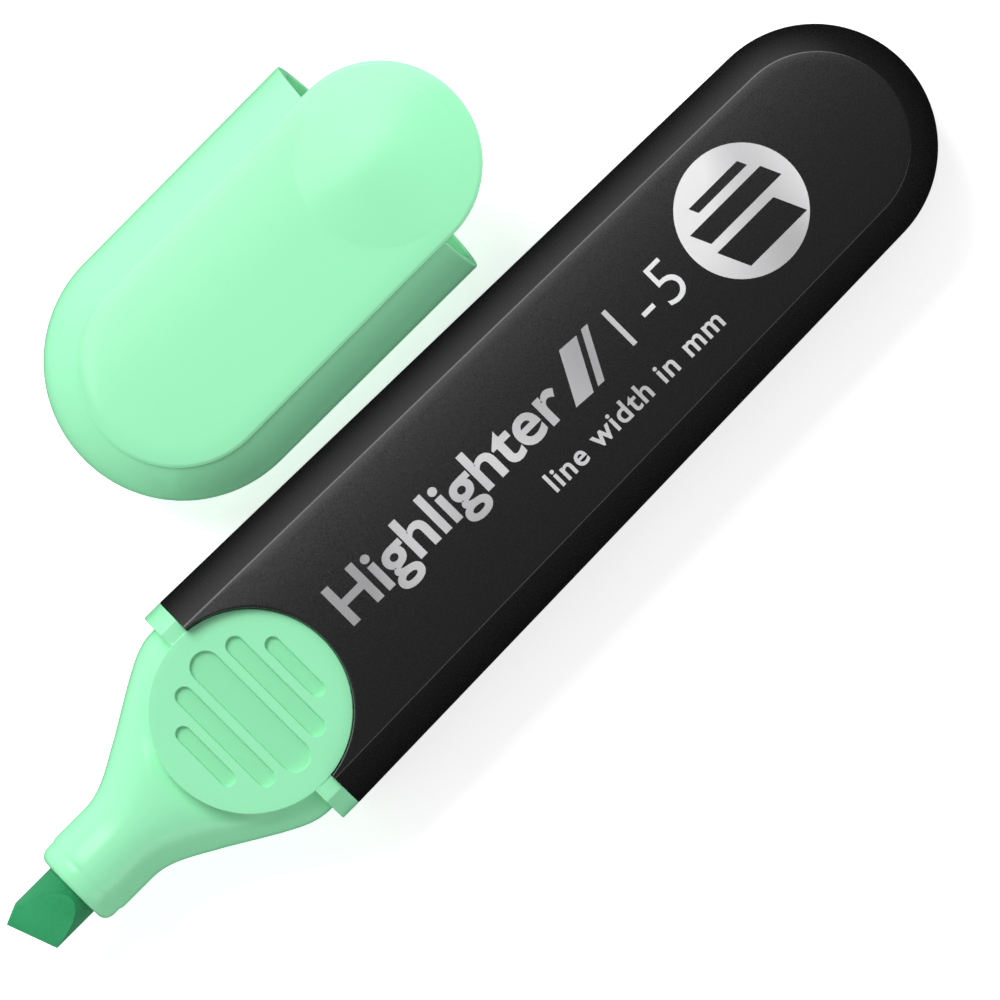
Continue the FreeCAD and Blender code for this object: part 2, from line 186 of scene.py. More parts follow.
def build_barrel():
    B = Build()
    rows = ridge_rows(H, IN_F)
    g0 = rows[0][0]
    NP = 9
    rn, rc = 0.09, 0.22
    # the notch's edge: rounded corner, then the circle
    ccx = XF + rc
    ccy = math.sqrt((NR + rc) ** 2 - (ccx - NX) ** 2)
    th_c = math.atan2(ccy, ccx - NX)
    starts = []                       # (x, y, nx, ny) on the wall of the notch
    for k in range(7):
        a = th_c * k / 6
        starts.append((ccx - rc * math.cos(a), ccy - rc * math.sin(a), math.cos(a), math.sin(a)))
    n = 54
    for k in range(1, n + 1):
        a = th_c * (1 - k / n)
        starts.append((NX + NR * math.cos(a), NR * math.sin(a), math.cos(a), math.sin(a)))
    xt0 = bar_pt(1.0, g0)[0]

    def t_of(x):
        return (x - XF) / (xt0 - XF)

    cols = []                         # (col, start or None)
    for s in starts:
        cols.append((t_of(s[0] + rn * s[2]), s))
    last = cols[-1][0]
    nst = 70
    for k in range(1, nst + 1):
        cols.append((last + (1 - last) * k / nst, None))
    for k in range(1, 41):
        cols.append((1 + k / 40, None))
    ed = NP + len(rows) - 1
    out = np.zeros((ed, len(cols) + 2, 3))
    inn = np.zeros((ed, len(cols), 3))
    hi = H - WALL
    gi = side_g(hi, SIDE_R - WALL)
    for j, (c, s) in enumerate(cols):
        ex, ey = bar_pt(c, g0)
        if s is not None:
            mx, my = s[0] + rn * s[2], s[1] + rn * s[3]
        elif c <= 1:
            mx, my = ex, 0.0
        else:
            mx, my = bar_pt(1.0, g0)[0], 0.0
        for k in range(NP):
            t = k / NP
            out[k, j + 2] = (mx + (ex - mx) * t, my + (ey - my) * t, H)
        for k, (g, z) in enumerate(rows[:-1] + [rows[-1]]):
            if NP + k < ed:
                x, y = bar_pt(c, g)
                out[NP + k, j + 2] = (x, y, z)
        x, y = bar_pt(c, 0.0)
        out[ed - 1, j + 2] = (x, y, 0.0)
        # inside
        c_in = 0.0 if j == 0 else c
        ix, iy = bar_pt(c_in, gi, WALL)
        if s is not None:
            wx, wy = s[0], s[1]
        elif c <= 1:
            wx, wy = ix, 0.0
        else:
            wx, wy = bar_pt(1.0, gi, WALL)[0], 0.0
        for k in range(NP + 1):
            t = k / NP
            inn[k, j] = (wx + (ix - wx) * t, wy + (iy - wy) * t, hi)
        m = ed - 1 - NP
        for k in range(1, m + 1):
            z = hi * math.cos(math.pi / 2 * k / m) if k < m else 0.0
            x, y = bar_pt(c_in, side_g(z, SIDE_R - WALL), WALL)
            inn[NP + k, j] = (x, y, z)
    # rounded front edge: two more columns, moved inwards in the section
    sec = out[:, 2, 1:].copy()
    tang = np.gradient(sec, axis=0)
    tang[:NP] = (1.0, 0.0)
    tang /= np.linalg.norm(tang, axis=1)[:, None]
    nrm = np.stack([-tang[:, 1], tang[:, 0]], 1)
    for j, (dx, d) in enumerate(((0.0, rn), (rn * (1 - math.sin(math.pi / 4)), rn * (1 - math.cos(math.pi / 4))))):
        q = sec - d * nrm
        q[0, 0] = sec[0, 0]
        q[-1, 1] = 0.0
        out[:, j, 0] = XF + dx
        out[:, j, 1:] = q
    B.grid(out)
    B.grid(inn, flip=True)
    # notch wall
    ns = len(starts)
    wall = np.zeros((4 + 4, ns, 3))
    for j, s in enumerate(starts):
        for k, a in enumerate((0, math.pi / 4, math.pi / 2)):
            d = rn * (1 - math.sin(a))
            wall[k, j] = (s[0] + d * s[2], s[1] + d * s[3], H - rn * (1 - math.cos(a)))
        for k in range(1, 6):
            wall[2 + k, j] = (s[0], s[1], H - rn + (hi - H + rn) * k / 5)
    B.grid(wall, flip=True)
    # front face
    front = np.stack([out[:, 0], inn[:, 0]], 0)
    # the first edge follows the notch wall
    left = [tuple(p) for p in wall[2:, 0]]
    B.poly([tuple(out[1, 0])] + left + [tuple(inn[1, 0])])
    B.grid(front[:, 1:], flip=True)
    B.mirror(1)
    B.mirror(2)
    return B


# ------------------------------------------------------------------ front section
TABLE = np.array([
    (-50.06, 3.35, 3.35, 2.0), (-50.045, 3.50, 3.50, 2.0), (-50.00, 3.65, 3.65, 2.0), (-49.93, 3.79, 3.79, 2.0),
    (-49.82, 3.93, 3.93, 2.0), (-49.68, 4.05, 4.05, 2.0), (-49.52, 4.15, 4.15, 2.0), (-49.33, 4.22, 4.22, 2.0),
    (-49.10, 4.265, 4.265, 2.0), (-48.85, 4.28, 4.28, 2.0), (-48.55, 4.275, 4.275, 2.0), (-48.35, 4.26, 4.26, 2.0),
    (-48.22, 4.29, 4.29, 2.0), (-48.05, 4.36, 4.36, 2.0), (-47.90, 4.395, 4.395, 2.0), (-47.6, 4.41, 4.41, 2.0),
    (-46.8, 4.41, 4.41, 2.0), (-45.9, 4.41, 4.41, 2.0), (-45.0, 4.41, 4.41, 2.0), (-44.3, 4.41, 4.41, 2.0),
    (-43.7, 4.43, 4.42, 2.0), (-43.0, 4.52, 4.45, 2.0), (-42.1, 4.77, 4.52, 2.02), (-41.2, 5.13, 4.63, 2.06),
    (-40.3, 5.58, 4.76, 2.1), (-39.4, 6.07, 4.90, 2.15), (-38.5, 6.59, 5.05, 2.2), (-37.5, 7.15, 5.20, 2.27),
    (-36.6, 7.68, 5.34, 2.33), (-35.7, 8.22, 5.47, 2.4), (-34.8, 8.76, 5.60, 2.45), (-33.9, 9.29, 5.72, 2.5),
    (-33.0, 9.81, 5.84, 2.55), (-32.1, 10.30, 5.95, 2.6), (-31.2, 10.75, 6.05, 2.65), (-30.3, 11.12, 6.13, 2.7),
    (-29.4, 11.36, 6.19, 2.7), (-28.5, 11.45, 6.23, 2.7), (-27.4, 11.45, 6.25, 2.7)])
TABLE[:, 0] += NOZ + 50.06


def super_pt(a, b, c, p):
    ca, sa = math.cos(a), math.sin(a)
    ca, sa = max(ca, 0.0), max(sa, 0.0)
    f = (ca ** p + sa ** p) ** (-1.0 / p)
    return b * f * ca, c * f * sa


def catmull(tab, sub):
    # resample a table whose first column rises, with a monotone cubic through its points
    x = tab[:, 0]
    h = np.diff(x)
    out = []
    slopes = []
    for c in range(1, tab.shape[1]):
        y = tab[:, c]
        d = np.diff(y) / h
        m = np.zeros(len(x))
        m[1:-1] = np.where(d[:-1] * d[1:] > 0, 2 * d[:-1] * d[1:] / np.where(d[:-1] + d[1:] == 0, 1, d[:-1] + d[1:]), 0)
        m[0], m[-1] = d[0], d[-1]
        slopes.append(m)
    for i in range(len(h)):
        n = max(1, int(round(h[i] / sub)))
        for k in range(n):
            t = k / n
            row = [x[i] + t * h[i]]
            for c in range(1, tab.shape[1]):
                y0, y1 = tab[i, c], tab[i + 1, c]
                m0, m1 = slopes[c - 1][i] * h[i], slopes[c - 1][i + 1] * h[i]
                row.append((2 * t ** 3 - 3 * t ** 2 + 1) * y0 + (t ** 3 - 2 * t ** 2 + t) * m0 + (-2 * t ** 3 + 3 * t ** 2) * y1 + (t ** 3 - t ** 2) * m1)
            out.append(row)
    out.append(list(tab[-1]))
    return np.array(out)


def build_shoulder():
    B = Build()
    tab = catmull(TABLE, 0.3)
    na = 28
    ang = [math.pi / 2 * k / na for k in range(na + 1)]
    outer = np.zeros((na + 1, len(tab), 3))
    for j, (x, b, c, p) in enumerate(tab):
        for k, a in enumerate(ang):
            y, z = super_pt(a, b, c, p)
            r = math.hypot(x - NX, y)
            if x < NX - 3.0 and z > 3.0:
                z -= 0.34 * math.exp(-((r - PAD_R - 0.1) / 0.95) ** 2) * min(1.0, (NX - 3.0 - x) / 2.5)
            outer[k, j] = (x, y, z)
    bore = [(NOZ, 2.99), (NOZ + 0.05, 2.90), (NOZ + 0.12, 2.86), (NOZ + 4, 2.84), (NOZ + 8, 2.84), (-34.5, 4.3), (-30.6, 4.6), (TABLE[-1, 0], 5.45)]
    inner = np.zeros((na + 1, len(bore), 3))
    for j, (x, r) in enumerate(bore):
        for k, a in enumerate(ang):
            inner[k, j] = (x, r * math.cos(a), r * math.sin(a))
    B.grid(outer, flip=True)
    B.grid(inner)
    B.grid(np.stack([outer[:, 0], inner[:, 0]], 1))
    B.grid(np.stack([outer[:, -1], inner[:, -1]], 1), flip=True)
    B.mirror(1)
    B.mirror(2)
    return B


def build_collar():
    B = Build()
    cen = WF - SIDE_R
    yc = cen + math.sqrt(SIDE_R ** 2 - PAD_Z ** 2)
    sec = [(yc * k / 10, PAD_Z) for k in range(10)]
    # rounded edge between the flat and the side
    s = PAD_Z / math.sqrt(SIDE_R ** 2 - PAD_Z ** 2)
    d = np.array([s, -1.0]) / math.hypot(s, 1)
    for k in range(6):
        t = k / 5
        p = (1 - t) ** 2 * np.array([-0.15, 0.0]) + t * t * 0.15 * d
        sec.append((yc + p[0], PAD_Z + p[1]))
    z1 = sec[-1][1]
    for k in range(1, 19):
        z = z1 * math.cos(math.pi / 2 * k / 18) if k < 18 else 0.0
        sec.append((cen + math.sqrt(SIDE_R ** 2 - z * z), z))
    sec = np.array(sec)
    tang = np.gradient(sec, axis=0)
    tang[0] = (1, 0)
    tang[-1] = (0, -1)
    tang /= np.linalg.norm(tang, axis=1)[:, None]
    nrm = np.stack([-tang[:, 1], tang[:, 0]], 1)
    r = 0.12
    cols = []
    for a in (0, 22.5, 45, 67.5, 90):
        a = math.radians(a)
        cols.append((COL0 + r * (1 - math.sin(a)), r * (1 - math.cos(math.pi / 2 - a))) if False else
                    (COL0 + r * (1 - math.cos(a)), r * (1 - math.sin(a))))
    for k in range(1, 7):
        cols.append((COL0 + r + (COL1 - COL0 - r - 0.04) * k / 6, 0.0))
    cols.append((COL1, 0.04))
    out = np.zeros((len(sec), len(cols), 3))
    for j, (x, dd) in enumerate(cols):
        q = sec - dd * nrm
        q[0, 0] = 0
        q[-1, 1] = 0
        out[:, j, 0] = x
        out[:, j, 1:] = q
    ang = np.arctan2(sec[:, 1], sec[:, 0])
    ins = np.zeros((len(sec), 2, 3))
    for k, a in enumerate(ang):
        ins[k, 0] = (COL0, 5.45 * math.cos(a), 5.45 * math.sin(a))
        ins[k, 1] = (COL1, 5.45 * math.cos(a), 5.45 * math.sin(a))
    B.grid(out)
    B.grid(ins, flip=True)
    B.grid(np.stack([out[:, 0], ins[:, 0]], 1), flip=True)
    B.grid(np.stack([out[:, -1], ins[:, -1]], 1))
    B.mirror(1)
    B.mirror(2)
    return B


def pad_z(x):
    return PAD_Z + PAD_SLOPE * (x - COL0)


def build_pad():
    # one coin, upper face; the lower one is its mirror image
    B = Build()
    n = 180
    r = 0.10
    rim = PAD_R + 0.12
    prof = [(0.0, 0.0), (rim * 0.3, 0.0), (rim * 0.6, 0.0), (rim - 0.9, 0.0), (rim - r, 0.0)]
    for k in range(1, 6):
        a = math.pi / 2 * k / 5
        prof.append((rim - r + r * math.sin(a), -r + r * math.cos(a)))
    pts = np.zeros((len(prof) + 3, n, 3))
    for j in range(n):
        t = 2 * math.pi * j / n
        for k, (rr, dz) in enumerate(prof):
            x, y = NX + rr * math.cos(t), rr * math.sin(t)
            pts[k, j] = (x, y, pad_z(x) + dz)
        x, y = NX + rim * math.cos(t), rim * math.sin(t)
        pts[len(prof), j] = (x, y, 3.4)
        pts[len(prof) + 1, j] = (NX + 5.9 * math.cos(t), 5.9 * math.sin(t), 3.4)
        pts[len(prof) + 2, j] = (NX, 0, 3.4)
    B.grid(pts, flip=True, close=True)
    return B


SLOT_D = 0.45
SLOTS = [(-5.75, 3.55, 0.72), (-3.25, 6.05, 0.86), (0.0, 7.15, 1.45), (3.25, 6.05, 0.86), (5.75, 3.55, 0.72)]


def build_slot(off, half, wid, depth=SLOT_D):
    # straight rounded slot across the pad: a closed cutter with drafted walls and a broken edge
    B = Build()
    n = 20
    prof = [(0.6, 0.07), (0.0, 0.07), (-0.07, 0.0), (-depth + 0.14, -0.02), (-depth + 0.04, -0.06), (-depth, -0.16)]
    rows = []
    for dz, grow in prof:
        r = wid + grow
        ring = []
        for end, a0 in ((1, 0.0), (-1, math.pi)):
            for k in range(n + 1):
                a = a0 + math.pi * k / n
                x = NX + off + r * math.cos(a)
                y = end * (half - wid) + r * math.sin(a)
                ring.append((x, y, pad_z(x) + dz))
        rows.append(ring)
    m = len(rows[0])
    mid = [((NX + off), p[1] * 0.999 if abs(p[1]) < half - wid else math.copysign(half - wid, p[1]), pad_z(NX + off) - depth) for p in rows[-1]]
    rows.append(mid)
    top = [((NX + off), q[1], pad_z(NX + off) + 0.6) for q in mid]
    rows.insert(0, top)
    B.grid(np.array(rows), close=True)
    return B


def build_plug():
    B = Build()
    x1 = -12.0
    ins_o, ins_i = WALL + 0.05, WALL + 1.25
    ho, hi = H - ins_o, H - ins_i
    cols = [-0.008, 0.0] + [k / 24 * (x1 - XF) / (CX_R - XF) for k in range(1, 25)]
    NP, NS = 8, 16

    def rows(col, ins, h):
        g = side_g(h, SIDE_R - ins)
        ex, ey = bar_pt(col, g, ins)
        res = [(ex, ey * k / NP, h) for k in range(NP)]
        for k in range(NS + 1):
            z = h * math.cos(math.pi / 2 * k / NS) if k < NS else 0.0
            x, y = bar_pt(col, side_g(z, SIDE_R - ins), ins)
            res.append((ex, y, z))
        return res
    out = np.array([rows(c, ins_o, ho) for c in cols]).transpose(1, 0, 2)
    inn = np.array([rows(c, ins_i, hi) for c in cols]).transpose(1, 0, 2)
    B.grid(out)
    B.grid(inn, flip=True)
    B.grid(np.stack([out[:, 0], inn[:, 0]], 1), flip=True)
    B.grid(np.stack([out[:, -1], inn[:, -1]], 1))
    B.mirror(1)
    B.mirror(2)
    return B


# ------------------------------------------------------------------ cap, drawn where it sits on the pen
CAP_A = math.radians(4.0)
TAN = math.tan(CAP_A)
RIM = XF - 2.04
CAP_LEN = 37.85
CAP_W, CAP_ER = 12.82, 12.68
CAP_END = RIM - CAP_LEN
P_W, P_ER = 9.29, 9.27
P_END = CAP_END + 3.20
P_CX = P_END + P_ER
T_CX, T_R = RIM + 0.92, 9.28
rim_mid_x = cap_hi.x - (T_CX + T_R - RIM) * math.cos(CAP_A) + 0.0
REST_RIM = 16.06
CAP_Y = (cap_lo.y + cap_hi.y) / 2
LAY = (Matrix.Translation((REST_RIM, CAP_Y, H * math.cos(CAP_A))) @ Matrix.Rotation(-CAP_A, 4, "Y")
       @ Matrix.Translation((-RIM, 0, 0)))


def cap_h(x):
    return H + (x - RIM) * TAN


def cap_pt(col, w0, end_x, r0, in_s, in_e, g):
    # col 0..1 from the rim along the side, 1..2 round the closed end
    w, r = w0 - in_s * g, r0 - in_s * g
    cx = end_x + in_e * g + r
    b = taper(RIM - cx, w, r)
    xt, yt = cx - r * math.sin(b), r * math.cos(b)
    if col <= 1:
        return RIM + (xt - RIM) * col, w + (yt - w) * col
    a = (math.pi / 2 - b) * (2 - col)
    return cx - r * math.cos(a), r * math.sin(a)


def build_cap_body():
    B = Build()
    NP, NS = 8, 26
    cols = [k / 60 for k in range(61)] + [1 + k / 48 for k in range(1, 49)]

    def rows(col, w0, end_x, r0, in_s, in_e, top, ns=NS):
        ex, ey = cap_pt(col, w0, end_x, r0, in_s, in_e, 1.0)
        if col <= 1:
            mx = ex
        else:
            mx = cap_pt(1.0, w0, end_x, r0, in_s, in_e, 1.0)[0]
        res = []
        for k in range(NP):
            t = k / NP
            x, y = mx + (ex - mx) * t, ey * t
            res.append((x, y, top(x)))
        for k in range(ns + 1):
            q = math.cos(math.pi / 2 * k / ns) if k < ns else 0.0
            x, y = cap_pt(col, w0, end_x, r0, in_s, in_e, side_g(q * H))
            res.append((x, y, q * top(x)))
        return res
    out = np.array([rows(c, CAP_W, CAP_END, CAP_ER, 3.60, 3.36, lambda x: cap_h(x) - 0.35) for c in cols]).transpose(1, 0, 2)
    inn = np.array([rows(c, CAP_W - 1.15, CAP_END + 1.25, CAP_ER - 1.25, 2.42, 2.6, lambda x: cap_h(x) - 1.20)
                    for c in cols]).transpose(1, 0, 2)
    # rounded rim edges, outside and inside
    def rim_cols(sec, r, sign, n=4):
        q = sec[:, 0, 1:]
        tang = np.gradient(q, axis=0)
        tang[:NP] = (1, 0)
        tang[-1] = (0, -1)
        tang /= np.linalg.norm(tang, axis=1)[:, None]
        nrm = np.stack([-tang[:, 1], tang[:, 0]], 1) * sign
        extra = []
        for k in range(n):
            a = math.pi / 2 * k / n
            p = q - r * (1 - math.sin(a)) * nrm
            p[0, 0] = 0
            p[-1, 1] = 0
            extra.append(np.concatenate([np.full((len(p), 1), RIM - r * (1 - math.cos(a))), p], 1))
        s2 = sec.copy()
        s2[:, 0, 0] = RIM - r
        return np.concatenate([np.stack(extra, 1), s2], 1)
    out = rim_cols(out, 0.12, 1.0)
    inn = rim_cols(inn, 0.12, -1.0)
    B.grid(out, flip=True)
    B.grid(inn)
    B.grid(np.stack([out[:, 0], inn[:, 0]], 1))
    B.mirror(1)
    B.mirror(2)
    return B


DOME_X, DOME_R, DOME_H = T_CX, 7.45, 0.40
chamfer = 0.16


def softplus(v, k):
    return math.log1p(math.exp(-abs(v * k))) / k + max(v, 0.0)


def build_plate(tongue=True):
    # raised panel; the upper one runs on past the rim as the tongue, with its thumb dome
    B = Build()
    cols = []                                    # (edge x, edge y, normal x, normal y, medial x)
    na = 48
    for k in range(na + 1):
        a = math.pi - math.pi / 2 * k / na
        cols.append((P_CX + P_ER * math.cos(a), P_ER * math.sin(a), math.cos(a), math.sin(a), P_CX))
    ns = 110
    x_end = T_CX if tongue else RIM
    for k in range(1, ns):
        t = k / ns
        x = P_CX + (x_end - P_CX) * t
        y = P_ER + (T_R - P_ER) * (x - P_CX) / (T_CX - P_CX)
        cols.append((x, y, 0.0, 1.0, x))
    na = 64
    if tongue:
        for k in range(na + 1):
            a = math.pi / 2 * (1 - k / na)
            cols.append((T_CX + T_R * math.cos(a), T_R * math.sin(a), math.cos(a), math.sin(a), T_CX))
    else:
        cols.append((RIM - 0.05, T_R, 0.0, 1.0, RIM - 0.05))

    def top(x, y, e):
        if tongue:
            base = cap_h(x) - softplus(cap_h(x) - H, 9.0)  # the two planes meet in a soft crease
        else:
            base = cap_h(x)
        border = 1.9
        drop = 0.17 * (1 - e / border) ** 2 if e < border else 0.0
        if not tongue:
            return base - drop
        rho = math.hypot(x - DOME_X, y) / DOME_R
        k = 0.35
        cone = rho * rho / (2 * k) if rho < k else rho - k / 2
        edge = chamfer * max(0.0, 1 - e / 0.22)
        step = 0.035 if rho < 1 else 0.035 * max(0.0, 1 - (rho - 1) * DOME_R / 0.25)
        return base - drop - edge + step + DOME_H * softplus(1 - cone / (1 - k / 2), 60.0)

    def low(x):
        if x < RIM or not tongue:
            return cap_h(x) - 1.14
        return H - 1.14 + PAD_SLOPE * (x - RIM)

    es = [9.29] + [9.29 - 0.28 * k for k in range(1, 26)] + [2.1, 1.9, 1.7, 1.5, 1.3, 1.1, 0.9, 0.7, 0.52, 0.36, 0.24, 0.16]
    rc = 0.10
    pts = []
    for (x, y, nx, ny, mx) in cols:
        col = []
        full = math.hypot(x - mx, y)
        for e in es:
            e2 = e * full / 9.29 if e > 2.1 else e
            px, py = x - nx * e2, y - ny * e2
            if e == es[0]:
                px, py = mx, 0.0
            col.append((px, py, top(px, py, e2)))
        for k in range(5):
            a = math.pi / 2 * k / 4
            e = rc * (1 - math.sin(a))
            px, py = x - nx * e, y - ny * e
            col.append((px, py, top(x - nx * rc, y - ny * rc, rc) - rc * (1 - math.cos(a))))
        zl = low(x)
        for t in (0.5, 1.0):
            z0 = col[-1][2] if t == 0.5 else z0
            col.append((x, y, z0 + (zl + rc - z0) * t))
        for k in range(1, 4):
            a = math.pi / 2 * k / 3
            e = rc * (1 - math.cos(a))
            col.append((x - nx * e, y - ny * e, zl + rc * (1 - math.sin(a))))
        for t in (0.2, 0.5, 1.0):
            px, py = (x - nx * rc) + (mx - x + nx * rc) * t, (y - ny * rc) * (1 - t)
            col.append((px, py, low(px)))
        pts.append(col)
    pts = np.array(pts).transpose(1, 0, 2)
    B.grid(pts)
    B.mirror(1)
    if not tongue:                                # flat end, flush with the rim
        end = [tuple(p) for p in pts[:, -1]]
        B.poly(end + [(x, -y, z) for x, y, z in end[::-1][1:-1]])
    return B


def build_socket():
    # ring inside the closed end that holds the sealing cup
    B = Build()
    n = 96
    x0, x1 = -63.2, -57.5
    prof = [(x0, 5.3), (x1 + 0.2, 5.3), (x1, 5.1), (x1, 4.82), (x1 - 0.2, 4.62), (x0 + 0.4, 4.62), (x0 + 0.4, 0.0), (x0, 0.0)]
    prof = [(x0, 0.0)] + prof[:6] + [(x0 + 0.4, 0.0)]
    pts = np.zeros((len(prof), n, 3))
    for j in range(n):
        t = 2 * math.pi * j / n
        for k, (x, r) in enumerate(prof):
            pts[k, j] = (x, r * math.cos(t), r * math.sin(t) * (0.9 if r > 4.7 else 1.0))
    B.grid(pts, close=True)
    return B


def build_cup():
    B = Build()
    n = 128
    mx, ex = -44.6, -61.5
    prof = [(ex, 0.0), (ex, 4.1), (ex + 0.1, 4.45), (ex + 0.4, 4.6), (-53.3, 4.6), (-53.0, 4.66), (-52.5, 5.08), (-52.1, 5.2),
            (mx - 0.35, 5.2), (mx - 0.12, 5.14), (mx, 5.02), (mx, 4.92), (mx - 0.1, 4.80), (mx - 0.35, 4.66), (mx - 0.8, 4.50),
            (mx - 1.4, 4.46), (-50.9, 4.46), (-51.1, 4.36), (-51.7, 3.7), (-52.0, 3.52), (-52.4, 3.5), (ex + 1.4, 3.5),
            (ex + 1.1, 3.35), (ex + 1.0, 3.0), (ex + 1.0, 0.0)]
    pts = np.zeros((len(prof), n, 3))
    for j in range(n):
        t = 2 * math.pi * j / n
        for k, (x, r) in enumerate(prof):
            pts[k, j] = (x, r * math.cos(t), r * math.sin(t))
    B.grid(pts, close=True)
    return B


# ------------------------------------------------------------------ nib
def build_nib():
    bm = bmesh.new()
    r = 2.80
    x_rear, x_tip = nib_hi.x, -58.5
    n = 96
    rings = []
    for x, rr in ((x_tip, r), (-50.0, r), (-40.0, r), (x_rear - 1.2, r), (x_rear, 1.6)):
        rings.append([bm.verts.new((x, rr * math.cos(2 * math.pi * k / n), rr * math.sin(2 * math.pi * k / n))) for k in range(n)])
    for a, b in zip(rings, rings[1:]):
        for k in range(n):
            bm.faces.new((a[k], a[(k + 1) % n], b[(k + 1) % n], b[k]))
    bm.faces.new(rings[0])
    bm.faces.new(rings[-1][::-1])
    bmesh.ops.recalc_face_normals(bm, faces=bm.faces)
    sp, lp, co = (-54.85, -2.72), (nib_lo.x, 1.96), (-54.60, 2.80)
    e = np.array([lp[0] - sp[0], lp[1] - sp[1]])
    e /= np.linalg.norm(e)
    nrm = np.array([e[1], -e[0]])
    if nrm[0] < 0:
        nrm = -nrm

    def cut(point, normal):
        g = bm.verts[:] + bm.edges[:] + bm.faces[:]
        res = bmesh.ops.bisect_plane(bm, geom=g, plane_co=point, plane_no=normal, clear_outer=True, dist=1e-6)
        edges = [x for x in res["geom_cut"] if isinstance(x, bmesh.types.BMEdge)]
        bmesh.ops.contextual_create(bm, geom=edges)

    cut((sp[0], sp[1], 0), (-nrm[0], -nrm[1], 0))
    c = np.array([co[0] - lp[0], co[1] - lp[1]])
    c /= np.linalg.norm(c)
    cut((lp[0], lp[1], 0), (-c[1], c[0], 0))
    k = 0.50
    for s in (1, -1):
        v = np.array([-k * nrm[0], -k * nrm[1], s])
        cut((sp[0], sp[1], s * 0.42), tuple(v))
    bmesh.ops.remove_doubles(bm, verts=bm.verts, dist=1e-4)
    bmesh.ops.recalc_face_normals(bm, faces=bm.faces)
    sharp = [x for x in bm.edges if len(x.link_faces) == 2 and x.calc_face_angle(0) > math.radians(14) and
             (x.verts[0].co.x < -50.5 or x.verts[1].co.x < -50.5)]
    bmesh.ops.bevel(bm, geom=sharp, offset=0.07, segments=3, profile=0.5, affect="EDGES", clamp_overlap=True)
    bmesh.ops.remove_doubles(bm, verts=bm.verts, dist=1e-4)
    bm.transform(Matrix.Scale(MM, 4) @ LIFT)
    me = bpy.data.meshes.new("chisel_nib")
    finish_bm(bm, me, 25)
    return me


# ------------------------------------------------------------------ materials
def mat(name):
    m = bpy.data.materials.new(name)
    m.use_nodes = True
    nt = m.node_tree
    return m, nt, nt.nodes["Principled BSDF"]


def node(nt, kind, **kw):
    n = nt.nodes.new(kind)
    for k, v in kw.items():
        if k in n.inputs.keys():
            n.inputs[k].default_value = v
        else:
            setattr(n, k, v)
    return n


def coords(nt):
    return nt.nodes.new("ShaderNodeTexCoord").outputs["Object"]


def mapping(nt, src, scale):
    m = nt.nodes.new("ShaderNodeMapping")
    m.inputs["Scale"].default_value = scale
    nt.links.new(src, m.inputs["Vector"])
    return m.outputs["Vector"]


def noise(nt, src, scale, detail=3.0, rough=0.5):
    n = node(nt, "ShaderNodeTexNoise", Scale=scale, Detail=detail, Roughness=rough)
    nt.links.new(src, n.inputs["Vector"])
    return n.outputs["Fac"]


def ramp(nt, src, lo, hi, a, b):
    r = nt.nodes.new("ShaderNodeMapRange")
    r.inputs["From Min"].default_value = lo
    r.inputs["From Max"].default_value = hi
    r.inputs["To Min"].default_value = a
    r.inputs["To Max"].default_value = b
    nt.links.new(src, r.inputs["Value"])
    return r.outputs["Result"]


def mix_col(nt, fac, a, b):
    m = nt.nodes.new("ShaderNodeMix")
    m.data_type = "RGBA"
    m.inputs[6].default_value = (*a, 1)
    m.inputs[7].default_value = (*b, 1)
    nt.links.new(fac, m.inputs[0])
    return m.outputs[2]


def bump(nt, src, strength, dist, nxt=None):
    b = nt.nodes.new("ShaderNodeBump")
    b.inputs["Strength"].default_value = strength
    b.inputs["Distance"].default_value = dist
    nt.links.new(src, b.inputs["Height"])
    if nxt is not None:
        nt.links.new(nxt, b.inputs["Normal"])
    return b.outputs["Normal"]


def moulded(name, base, var, rough, spec, grain, grain_scale, ior=1.49, coat=0.0):
    # moulded plastic: slow tone drift, fine eroded grain, faint flow marks, roughness that varies
    m, nt, b = mat(name)
    c = coords(nt)
    slow = noise(nt, c, 45.0, 2.0)
    fine = noise(nt, c, grain_scale, 4.0, 0.6)
    flow = noise(nt, mapping(nt, c, (18.0, 160.0, 160.0)), 1.6, 3.0)
    lo = tuple(x * (1 - var) for x in base)
    hi = tuple(min(1.0, x * (1 + var)) for x in base)
    nt.links.new(mix_col(nt, ramp(nt, slow, 0.3, 0.7, 0, 1), lo, hi), b.inputs["Base Color"])
    nt.links.new(ramp(nt, fine, 0.25, 0.75, rough - 0.035, rough + 0.035), b.inputs["Roughness"])
    n1 = bump(nt, fine, grain, 0.00004)
    n2 = bump(nt, flow, 0.06, 0.00010, n1)
    nt.links.new(n2, b.inputs["Normal"])
    b.inputs["IOR"].default_value = ior
    b.inputs["Specular IOR Level"].default_value = spec
    if coat:
        b.inputs["Coat Weight"].default_value = coat
        b.inputs["Coat Roughness"].default_value = 0.25
    return m


M_BLACK = moulded("black_moulded", (0.0066, 0.0066, 0.0068), 0.10, 0.28, 0.95, 0.010, 5200.0, ior=1.6)
M_MINT = moulded("mint_moulded", (0.318, 0.845, 0.485), 0.012, 0.17, 0.50, 0.012, 3800.0)
# slot floors: eroded matte texture (rougher, with more bump) plus a darker mint base colour, the darker colour being
# painted shade for the recesses
M_RECESS_PAINTED_SHADE = moulded("mint_eroded_painted_shade", (0.262, 0.745, 0.412), 0.02, 0.55, 0.35, 0.16, 2600.0)
M_LINER = moulded("natural_liner", (0.45, 0.80, 0.60), 0.02, 0.5, 0.35, 0.08, 3000.0)


